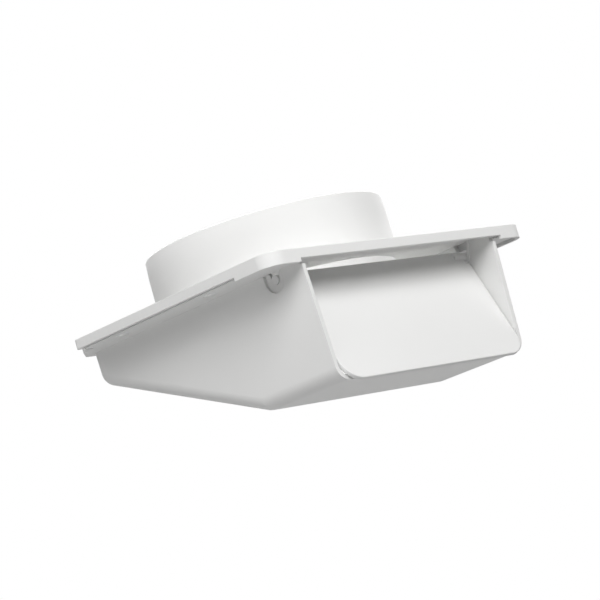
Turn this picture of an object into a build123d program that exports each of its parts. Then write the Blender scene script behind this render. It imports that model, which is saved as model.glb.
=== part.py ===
from build123d import *
import os
from math import asin, atan2, cos, degrees, hypot, radians, tan

# Soffit exhaust vent in three mouldings: a base plate with a duct collar, a hood that hangs below it,
# and a damper flap that closes the hood's mouth.
# Millimetres. +Z is up into the soffit, the mouth faces -Y.
# The origin is on the collar's axis, in the plate's top face, which lies against the soffit.

# Duct collar
collar_diameter = 100.0
collar_height = 25.4
collar_wall = 2.0
collar_lead_height = 7.0
collar_lead_in = 0.4
collar_lip_chamfer = 0.5
collar_foot_round = 1.2
bore_edge_chamfer = 0.5

# Base plate, its rim and the deeper skirts at its front corners
plate_width = 151.0
plate_front = 70.2
plate_thickness = 1.5
rim_depth = 3.9
rim_wall = 1.8
rim_back = 45.0
rim_end_radius = 2.0
front_corner_radius = 8.0
skirt_depth = 5.5
skirt_length = 20.2
skirt_gap = 1.6
plate_edge_chamfer = 0.25

# Tail of the plate and of the hood's flange, behind the side rims
tail_width = 134.6
tail_back = 60.0
tail_chamfer = 10.0
tail_corner_radius = 3.0

# Hood
hood_width = 114.6
hood_back = 57.9
hood_bottom = 51.9
hood_wall = 1.8
hood_draft = 2.9
hood_edge_radius = 6.0
ridge_front = 25.2
ramp_angle = 22.7
flange_thickness = 2.8
flange_gap = 0.5
mouth_gap = 0.3
relief_length = 1.2
relief_drop = 5.6

# Screws through plate and flange
screw_hole_diameter = 5.5
screw_outset = 0.95
screw_spacing_y = 52.4

# Pivots of the flap: a pocket outside each wall, a boss inside it and a flared slot that the pin drops into
pivot_front = 52.0
pivot_drop = 7.2
pin_diameter = 3.6
pin_clearance = 0.08
pin_inset = 0.6
pin_exposed = 2.2
pin_root = 5.0
slot_mouth = 7.0
pocket_radius = 5.0
pocket_depth = 1.2
boss_wall = 1.3
boss_reach = 0.8

# Flap
flap_thickness = 1.8
flap_rise = 2.4
flap_side_gap = 0.5
flap_notch_gap = 0.7
flap_lip_gap = 0.5
flap_lip_overlap = 3.6
flap_corner_ease = 1.2
flap_edge_round = 0.4

# How close two places have to be to count as the same one
same_place = 0.01

# Levels, as drops below the mounting face
flange_top = plate_thickness
flange_bottom = flange_top + flange_thickness

# Places that follow from the sizes above
collar_radius = collar_diameter / 2
bore_radius = collar_radius - collar_wall
half_plate = plate_width / 2
half_tail = tail_width / 2
rim_inner = half_plate - rim_wall
half_flange = rim_inner - flange_gap
mouth_front = plate_front - rim_wall - mouth_gap
skirt_end = hood_width / 2 + skirt_gap
slot_radius = pin_diameter / 2 + pin_clearance
boss_radius = slot_radius + boss_wall
boss_mouth = slot_mouth + 2 * boss_wall
pocket_mouth = 2 * pocket_radius

# The screws stand a little outside the middle of the flange beside the hood
screw_spacing_x = hood_width / 2 + half_flange + 2 * screw_outset


def hood_half_width(drop, inset=0.0):
    # half the hood's width at a drop below the mounting face, inset from the outer face of its drafted walls
    taper = tan(radians(hood_draft)) * (drop - flange_top)
    return hood_width / 2 - taper - inset / cos(radians(hood_draft))


pivot_wall = hood_half_width(pivot_drop)
boss_face = pivot_wall - hood_wall - boss_reach
pin_half = pivot_wall - pin_inset
flap_top_half = boss_face - pin_exposed


def drop_prism(face, top, bottom):
    # a plan face turned into a solid between two drops below the mounting face
    return extrude(Pos(0, 0, -bottom) * face, amount=bottom - top)


def plan_rectangle(half_x, front, back, front_radius, back_radius):
    # rectangle in plan with its own corner radii at the front and at the back
    face = make_face(Polyline((-half_x, -front), (half_x, -front), (half_x, back), (-half_x, back), close=True))
    front_corners = face.vertices().group_by(Axis.Y)[0]
    face = fillet(front_corners, front_radius)
    back_corners = face.vertices().group_by(Axis.Y)[-1]
    return fillet(back_corners, back_radius)


def tail_face():
    # the narrower tail, from the collar's axis back, with its two rear corners cut off at 45 degrees
    shoulder = tail_back - tail_chamfer
    half_back = half_tail - tail_chamfer
    right = [(half_tail, 0), (half_tail, shoulder), (half_back, tail_back)]
    left = [(-x, y) for x, y in reversed(right)]
    face = make_face(Polyline(*right, *left, close=True))
    corners = [v for v in face.vertices() if v.Y > same_place]
    return fillet(corners, tail_corner_radius)


def screw_holes(top, bottom):
    places = GridLocations(screw_spacing_x, screw_spacing_y, 2, 2)
    holes = Sketch() + [place * Circle(screw_hole_diameter / 2) for place in places]
    return drop_prism(holes, top, bottom)


def circles_at(solid, radius, level):
    # the circular edges about the collar's axis with a given radius and height
    return [
        e for e in solid.edges().filter_by(GeomType.CIRCLE)
        if abs(e.radius - radius) < same_place and abs(e.center().Z - level) < same_place
    ]


def make_collar():
    # turned about the axis: a straight seat for the duct, a tapered lead-in above it and a straight bore
    lip_radius = collar_radius - collar_lead_in
    profile = make_face(
        Polyline(
            (bore_radius, -plate_thickness / 2),
            (collar_radius, -plate_thickness / 2),
            (collar_radius, collar_height - collar_lead_height),
            (lip_radius, collar_height),
            (bore_radius, collar_height),
            close=True,
        )
    )
    lip = profile.vertices().group_by(Axis.Y)[-1]
    lip_wall = lip_radius - bore_radius
    profile = chamfer(lip, min(collar_lip_chamfer, lip_wall / 3))
    return revolve(Plane.XZ * profile, Axis.Z)


def make_base_plate():
    outer = plan_rectangle(half_plate, plate_front, rim_back, front_corner_radius, rim_end_radius)
    inner_radius = front_corner_radius - rim_wall
    inner = plan_rectangle(rim_inner, plate_front - rim_wall, rim_back - rim_wall, inner_radius, rim_end_radius / 2)
    sheet = drop_prism(outer + tail_face(), 0, plate_thickness)
    top_edge = sheet.faces().sort_by(Axis.Z)[-1].outer_wire().edges()
    sheet = chamfer(top_edge, plate_edge_chamfer)

    # the rim is open at the back, where the hood's flange passes
    ring = outer - inner
    gateway = Pos(0, rim_back) * Rectangle(tail_width + 2 * flange_gap, 4 * rim_wall)
    rim = drop_prism(ring - gateway, plate_thickness / 2, rim_depth)

    # the rim hangs lower round the two front corners
    skirt_width = half_plate - skirt_end
    skirt_place = (half_plate + skirt_end) / 2
    corners = Sketch() + [
        Pos(side * skirt_place, -plate_front + skirt_length / 2) * Rectangle(skirt_width, skirt_length)
        for side in (-1, 1)
    ]
    skirts = drop_prism(ring & corners, plate_thickness / 2, skirt_depth)

    bore = drop_prism(Circle(bore_radius), -plate_thickness, 2 * plate_thickness)
    plate = sheet + rim + skirts - bore + make_collar()
    plate = fillet(circles_at(plate, collar_radius, 0), collar_foot_round)
    plate = chamfer(circles_at(plate, bore_radius, -plate_thickness), bore_edge_chamfer)
    return plate - screw_holes(-plate_thickness, 2 * plate_thickness)


def hood_form(inset, past_mouth, past_top, radius):
    # the hood's solid form: a side profile with a flat front and a ramp up to the back wall,
    # narrowed by the draft of the side walls, with its lower and rear edges rounded
    slope = radians(ramp_angle)
    bottom = -hood_bottom + inset
    ridge = -ridge_front - inset * tan(slope / 2)
    back = hood_back - inset
    ramp_top = bottom + (back - ridge) * tan(slope)
    front = -mouth_front - past_mouth
    top = -flange_top + past_top
    profile = make_face(
        Polyline((front, top), (front, bottom), (ridge, bottom), (back, ramp_top), (back, top), close=True)
    )
    form = extrude(Plane.YZ * profile, amount=hood_width, both=True)

    # the taper runs a wall's thickness past the bottom, so that its sides cut right through
    low = bottom - hood_wall
    top_half = hood_half_width(-top, inset)
    low_half = hood_half_width(-low, inset)
    taper = make_face(Polyline((-top_half, top), (top_half, top), (low_half, low), (-low_half, low), close=True))
    form = form & extrude(Plane.XZ * taper, amount=2 * (plate_front + tail_back), both=True)
    rounded = [
        e for e in form.edges()
        if e.center().Y > front + same_place and e.center().Z < top - same_place
    ]
    return fillet(rounded, radius)


def pivot_block(side, radius, mouth, top, inner, outer):
    # a block about the pivot, round below and as wide as its mouth at the top,
    # from one distance off the middle plane to another
    height = pivot_drop - top
    throat = make_face(
        Polyline((-radius, 0), (radius, 0), (mouth / 2, height), (-mouth / 2, height), close=True)
    )
    below_top = Pos(0, height / 2 - radius) * Rectangle(4 * radius, height + 2 * radius)
    solid = extrude(Plane.YZ * (Circle(radius) & below_top) + Plane.YZ * throat, amount=outer - inner)
    start = inner if side > 0 else -outer
    return Pos(start, -pivot_front, -pivot_drop) * solid


def mouth_relief(side):
    # a notch in the top corner of the mouth's wall, as wide as from inside the wall to the end of the skirt
    inside = hood_half_width(relief_drop, hood_wall) - hood_wall
    notch = Box(skirt_end - inside, 2 * relief_length, relief_drop, align=(Align.CENTER, Align.CENTER, Align.MAX))
    return Pos(side * (skirt_end + inside) / 2, -mouth_front, 0) * notch


def make_hood():
    outer = hood_form(0, 0, 0, hood_edge_radius)
    inner = hood_form(hood_wall, 2 * hood_wall, 2 * hood_wall, hood_edge_radius - hood_wall)

    # the flange lies inside the plate's rim and runs out to the tail
    corner = front_corner_radius - rim_wall - flange_gap
    flange_back = rim_back - rim_wall - flange_gap
    flange = plan_rectangle(half_flange, mouth_front, flange_back, corner, rim_end_radius / 2) + tail_face()
    flange = drop_prism(flange, flange_top, flange_bottom)

    shell = outer + flange - inner
    for side in (-1, 1):
        shell += pivot_block(side, boss_radius, boss_mouth, flange_top, boss_face, pivot_wall - hood_wall / 2)
        shell -= pivot_block(side, pocket_radius, pocket_mouth, flange_bottom, pivot_wall - pocket_depth, hood_width)
        shell -= pivot_block(side, slot_radius, slot_mouth, flange_top, boss_face - hood_wall, pivot_wall)
        shell -= mouth_relief(side)
    return shell - screw_holes(0, flange_bottom + plate_thickness)


# The flap leans forward so that its rear face lies against the lip of the mouth.
# Its lower corners are rounder than the mouth's, so that they swing clear of them.
lip_drop = hood_bottom - hood_wall - pivot_drop
lip_reach = mouth_front - pivot_front
lip_distance = hypot(lip_drop, lip_reach)
flap_stand_off = flap_thickness / 2 + flap_lip_gap
flap_lean = degrees(atan2(lip_reach, lip_drop) + asin(flap_stand_off / lip_distance))
flap_length = lip_distance + flap_lip_overlap
flap_corner_radius = hood_edge_radius - hood_wall + flap_lip_overlap + flap_corner_ease


def make_damper_flap():
    # drawn hanging straight down from the pivot, then leaned forward to its closed place
    notch = boss_radius + flap_notch_gap

    def half_at(distance):
        return hood_half_width(pivot_drop + distance * cos(radians(flap_lean)), hood_wall) - flap_side_gap

    right = [
        (flap_top_half, flap_rise),
        (flap_top_half, -notch),
        (half_at(notch), -notch),
        (half_at(flap_length), -flap_length),
    ]
    left = [(-x, z) for x, z in reversed(right)]
    outline = make_face(Polyline(*right, *left, close=True))
    lower = outline.vertices().group_by(Axis.Y)[0]
    outline = fillet(lower, flap_corner_radius)
    panel = extrude(Plane.XZ * outline, amount=flap_thickness / 2, both=True)
    faces = panel.faces().filter_by(Axis.Y)
    edges = [e for f in faces for e in f.edges()]
    in_notch = [e for e in edges if -notch - same_place < e.center().Z < flap_rise - same_place]
    panel = fillet([e for e in edges if e not in in_notch], flap_edge_round)

    # each pin is rooted in the panel and stands out across the notch into its slot
    pins = Part() + [
        Pos(side * (pin_half + flap_top_half - pin_root) / 2, 0, 0)
        * extrude(Plane.YZ * Circle(pin_diameter / 2), amount=(pin_half - flap_top_half + pin_root) / 2, both=True)
        for side in (-1, 1)
    ]
    return Pos(0, -pivot_front, -pivot_drop) * Rot(-flap_lean, 0, 0) * (panel + pins)


pieces = {
    "base_plate": make_base_plate(),
    "hood": make_hood(),
    "damper_flap": make_damper_flap(),
}

os.makedirs("parts", exist_ok=True)
for node, solid in pieces.items():
    export_step(solid, f"parts/{node}.step")
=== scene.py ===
import math

import bpy
from mathutils import Matrix, Vector

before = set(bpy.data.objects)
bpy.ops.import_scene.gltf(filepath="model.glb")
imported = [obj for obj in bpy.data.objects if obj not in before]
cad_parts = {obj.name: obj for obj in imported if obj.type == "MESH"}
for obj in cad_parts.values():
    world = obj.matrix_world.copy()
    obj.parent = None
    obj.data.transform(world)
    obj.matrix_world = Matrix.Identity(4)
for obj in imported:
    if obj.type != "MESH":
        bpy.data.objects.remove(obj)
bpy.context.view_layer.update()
scene = bpy.context.scene
scene.view_settings.view_transform = "Standard"
mm = 0.001
print("stage: frame loaded,", len(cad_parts), "moulded pieces")


def hexToLinear(code):
    # sRGB hex such as "F2F2F1" to linear RGBA
    channels = [int(code[i:i + 2], 16) / 255 for i in (0, 2, 4)]
    return [c / 12.92 if c <= 0.04045 else ((c + 0.055) / 1.055) ** 2.4 for c in channels] + [1.0]


def addNode(tree, kind, settings, inputs):
    # one node with its settings; an input takes either another node's socket or a plain value
    node = tree.nodes.new(kind)
    for key, value in settings.items():
        setattr(node, key, value)
    for key, value in inputs.items():
        if isinstance(value, bpy.types.NodeSocket):
            tree.links.new(value, node.inputs[key])
        else:
            node.inputs[key].default_value = value
    return node


def outward(setting):
    # unit direction from the part; azimuth 0 is in front of the mouth, and elevation counts upward
    azimuth, elevation = math.radians(setting["azimuth"]), math.radians(setting["elevation"])
    return Vector((math.cos(elevation) * math.sin(azimuth), -math.cos(elevation) * math.cos(azimuth),
                   math.sin(elevation)))


# White polypropylene, injection moulded in a spark-eroded tool: a satin skin with a very fine even grain,
# slight waves where the wall cooled, edges that are never quite sharp, and a broad soft highlight.
def mouldedPolypropylene(name, look):
    material = bpy.data.materials.new(name)
    material.use_nodes = True
    tree = material.node_tree
    shader = tree.nodes["Principled BSDF"]
    place = addNode(tree, "ShaderNodeTexCoord", {}, {}).outputs["Object"]

    # pigment and gloss drift slowly along the flow of the melt
    flow = addNode(tree, "ShaderNodeTexNoise", {},
                   {"Vector": place, "Scale": 1 / (look["flowWidth"] * mm), "Detail": 3.0}).outputs["Fac"]
    tint = addNode(tree, "ShaderNodeMix", {"data_type": "RGBA"},
                   {0: flow, 6: hexToLinear(look["paleTone"]), 7: hexToLinear(look["deepTone"])})
    gloss = addNode(tree, "ShaderNodeMapRange", {},
                    {"Value": flow, "To Min": look["roughness"] - look["roughnessDrift"],
                     "To Max": look["roughness"] + look["roughnessDrift"]})

    # such a grain is usually about 0.2 mm, and is drawn coarser here so that it shows
    edges = addNode(tree, "ShaderNodeBevel", {"samples": 6}, {"Radius": look["edgeRound"] * mm})
    waves = addNode(tree, "ShaderNodeTexNoise", {},
                    {"Vector": place, "Scale": 1 / (look["waveWidth"] * mm), "Detail": 1.0})
    grain = addNode(tree, "ShaderNodeTexNoise", {},
                    {"Vector": place, "Scale": 1 / (look["grainWidth"] * mm), "Detail": 2.0})
    wavy = addNode(tree, "ShaderNodeBump", {},
                   {"Height": waves.outputs["Fac"], "Normal": edges.outputs["Normal"],
                    "Strength": 1.0, "Distance": look["waveHeight"] * mm})
    grainy = addNode(tree, "ShaderNodeBump", {},
                     {"Height": grain.outputs["Fac"], "Normal": wavy.outputs["Normal"],
                      "Strength": 1.0, "Distance": look["grainHeight"] * mm})

    tree.links.new(tint.outputs[2], shader.inputs["Base Color"])
    tree.links.new(gloss.outputs["Result"], shader.inputs["Roughness"])
    tree.links.new(grainy.outputs["Normal"], shader.inputs["Normal"])
    shader.inputs["IOR"].default_value = look["ior"]
    shader.inputs["Specular IOR Level"].default_value = look["specular"]
    return material


smoothing = {"weldReach": 0.001, "softEdge": 28, "flatWeight": 100}


def dressNode(nodeName, material):
    # the moulding keeps its own shape: its triangles are welded and shaded smooth up to the soft-edge angle
    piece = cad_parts[nodeName]
    bpy.ops.object.select_all(action="DESELECT")
    piece.select_set(True)
    bpy.context.view_layer.objects.active = piece
    bpy.ops.object.shade_smooth()
    weld = piece.modifiers.new("weldTriangles", "WELD")
    weld.merge_threshold = smoothing["weldReach"] * mm
    split = piece.modifiers.new("crispEdges", "EDGE_SPLIT")
    split.split_angle = math.radians(smoothing["softEdge"])
    even = piece.modifiers.new("evenFlats", "WEIGHTED_NORMAL")
    even.mode = "FACE_AREA"
    even.weight = smoothing["flatWeight"]
    piece.data.materials.clear()
    piece.data.materials.append(material)
    return piece


basePlate = {
    "paleTone": "E8E8E7", "deepTone": "E3E3E2", "flowWidth": 55, "roughness": 0.55, "roughnessDrift": 0.05,
    "grainWidth": 0.8, "grainHeight": 0.006, "waveWidth": 28, "waveHeight": 0.03, "edgeRound": 0.3,
    "ior": 1.49, "specular": 0.15,
}
dressNode("base_plate", mouldedPolypropylene("whitePolypropylenePlate", basePlate))

hood = {
    "paleTone": "E8E8E7", "deepTone": "E3E3E2", "flowWidth": 60, "roughness": 0.53, "roughnessDrift": 0.05,
    "grainWidth": 0.8, "grainHeight": 0.006, "waveWidth": 34, "waveHeight": 0.05, "edgeRound": 0.3,
    "ior": 1.49, "specular": 0.15,
}
dressNode("hood", mouldedPolypropylene("whitePolypropyleneHood", hood))

damperFlap = {
    "paleTone": "E8E8E7", "deepTone": "E4E4E3", "flowWidth": 50, "roughness": 0.56, "roughnessDrift": 0.04,
    "grainWidth": 0.8, "grainHeight": 0.005, "waveWidth": 40, "waveHeight": 0.05, "edgeRound": 0.3,
    "ior": 1.49, "specular": 0.15,
}
dressNode("damper_flap", mouldedPolypropylene("whitePolypropyleneFlap", damperFlap))
print("stage: mouldings dressed")


def seenDirectly(tree):
    # 1 for what the camera, reflections and glass see, 0 for light that only falls on things
    rays = addNode(tree, "ShaderNodeLightPath", {}, {}).outputs
    mirrored = addNode(tree, "ShaderNodeMath", {"operation": "MAXIMUM"},
                       {0: rays["Is Glossy Ray"], 1: rays["Is Transmission Ray"]}).outputs[0]
    return addNode(tree, "ShaderNodeMath", {"operation": "MAXIMUM"},
                   {0: rays["Is Camera Ray"], 1: mirrored}).outputs[0]


# Pale floor well below the part, which hangs from a soffit. It keeps the shadow, pales into the white
# background farther out, and is clear from below.
floor = {"drop": 0.5, "size": 8.0, "tone": "C4C4C4", "roughness": 0.7,
         "nearGlow": 0.3, "farGlow": 1.0, "nearReach": 0.4, "farReach": 2.4}
bpy.ops.object.select_all(action="DESELECT")
bpy.ops.mesh.primitive_plane_add(size=floor["size"], location=(0, 0, -floor["drop"]))
floorPiece = bpy.context.object
floorPiece.name = "studioFloor"
floorMaterial = bpy.data.materials.new("paleStudioFloor")
floorMaterial.use_nodes = True
floorTree = floorMaterial.node_tree
floorShader = floorTree.nodes["Principled BSDF"]
floorShader.inputs["Base Color"].default_value = hexToLinear(floor["tone"])
floorShader.inputs["Roughness"].default_value = floor["roughness"]
floorShader.inputs["Emission Color"].default_value = (1, 1, 1, 1)
spread = addNode(floorTree, "ShaderNodeTexCoord", {}, {}).outputs["Object"]
reach = addNode(floorTree, "ShaderNodeVectorMath", {"operation": "LENGTH"}, {0: spread}).outputs["Value"]
glow = addNode(floorTree, "ShaderNodeMapRange", {"interpolation_type": "SMOOTHSTEP"},
               {"Value": reach, "From Min": floor["nearReach"], "From Max": floor["farReach"],
                "To Min": floor["nearGlow"], "To Max": floor["farGlow"]}).outputs["Result"]
seenGlow = addNode(floorTree, "ShaderNodeMath", {"operation": "MULTIPLY"},
                   {0: glow, 1: seenDirectly(floorTree)})
below = addNode(floorTree, "ShaderNodeNewGeometry", {}, {}).outputs["Backfacing"]
solid = addNode(floorTree, "ShaderNodeMath", {"operation": "SUBTRACT"}, {0: 1.0, 1: below})
floorTree.links.new(seenGlow.outputs[0], floorShader.inputs["Emission Strength"])
floorTree.links.new(solid.outputs[0], floorShader.inputs["Alpha"])
floorPiece.data.materials.append(floorMaterial)

# White background for what is seen directly; the lamps alone light the part
studioWorld = {"background": 1.0, "ambient": 0.0}
world = bpy.data.worlds.new("studioWorld")
scene.world = world
world.use_nodes = True
worldTree = world.node_tree
background = worldTree.nodes["Background"]
level = addNode(worldTree, "ShaderNodeMapRange", {},
                {"Value": seenDirectly(worldTree), "To Min": studioWorld["ambient"],
                 "To Max": studioWorld["background"]})
worldTree.links.new(level.outputs["Result"], background.inputs["Strength"])
background.inputs["Color"].default_value = (1, 1, 1, 1)


def placeLamp(name, kind, setting, aimHeight):
    # a lamp that faces its aim point on the collar's axis from an azimuth and an elevation
    away = outward(setting)
    lamp = bpy.data.lights.new(name, kind)
    lamp.energy = setting["power"]
    holder = bpy.data.objects.new(name, lamp)
    scene.collection.objects.link(holder)
    holder.location = away * setting["distance"] + Vector((0, 0, aimHeight))
    holder.rotation_mode = "QUATERNION"
    holder.rotation_quaternion = (-away).to_track_quat("-Z", "Y")
    holder.visible_camera = False
    return lamp


# Softboxes in front, right and left, a low one that lifts the side wall, and two for the far sides
softboxAimHeight = -0.01
softboxes = {
    "keySoftbox": {"azimuth": -35, "elevation": 30, "distance": 1.2, "size": 0.6, "power": 10.5},
    "rightSoftbox": {"azimuth": 22, "elevation": 32, "distance": 1.2, "size": 0.8, "power": 4.9},
    "sideSoftbox": {"azimuth": -80, "elevation": 25, "distance": 1.2, "size": 0.6, "power": 3.2},
    "lowSoftbox": {"azimuth": -100, "elevation": -30, "distance": 0.8, "size": 0.4, "power": 1.0},
    "backSoftbox": {"azimuth": 155, "elevation": 30, "distance": 1.2, "size": 0.6, "power": 3.0},
    "farSoftbox": {"azimuth": 105, "elevation": 22, "distance": 1.2, "size": 0.6, "power": 4.5},
}
for name, setting in softboxes.items():
    softbox = placeLamp(name, "AREA", setting, softboxAimHeight)
    softbox.shape = "SQUARE"
    softbox.size = setting["size"]

# A narrow spot down the collar, which lights the inside of the hood above the flap
collarSpot = {"azimuth": -140, "elevation": 70, "distance": 0.8, "cone": 7, "edge": 0.35, "bulb": 0.03,
              "power": 34, "aimHeight": 0.02}
spot = placeLamp("collarSpot", "SPOT", collarSpot, collarSpot["aimHeight"])
spot.spot_size = math.radians(collarSpot["cone"])
spot.spot_blend = collarSpot["edge"]
spot.shadow_soft_size = collarSpot["bulb"]
print("stage: studio lit")


# Camera at the photograph's angle: turned round the part, rolled, and moved a little across its own view
photoCamera = {"azimuth": -47.05, "elevation": -8.23, "roll": -16.17, "distance": 1.1163,
               "aside": 0.00796, "above": -0.00388, "lens": 165.39, "sensor": 36}
towardCamera = outward(photoCamera)
levelRight = (-towardCamera).cross(Vector((0, 0, 1))).normalized()
levelUp = levelRight.cross(-towardCamera)
roll = math.radians(photoCamera["roll"])
right = levelRight * math.cos(roll) + levelUp * math.sin(roll)
up = levelUp * math.cos(roll) - levelRight * math.sin(roll)
camera = bpy.data.objects.new("photoCamera", bpy.data.cameras.new("photoCamera"))
scene.collection.objects.link(camera)
camera.data.lens = photoCamera["lens"]
camera.data.sensor_width = photoCamera["sensor"]
position = towardCamera * photoCamera["distance"] + right * photoCamera["aside"] + up * photoCamera["above"]
turn = Matrix((right, up, towardCamera)).transposed()
camera.matrix_world = Matrix.Translation(position) @ turn.to_4x4()
scene.camera = camera
print("stage: camera placed")
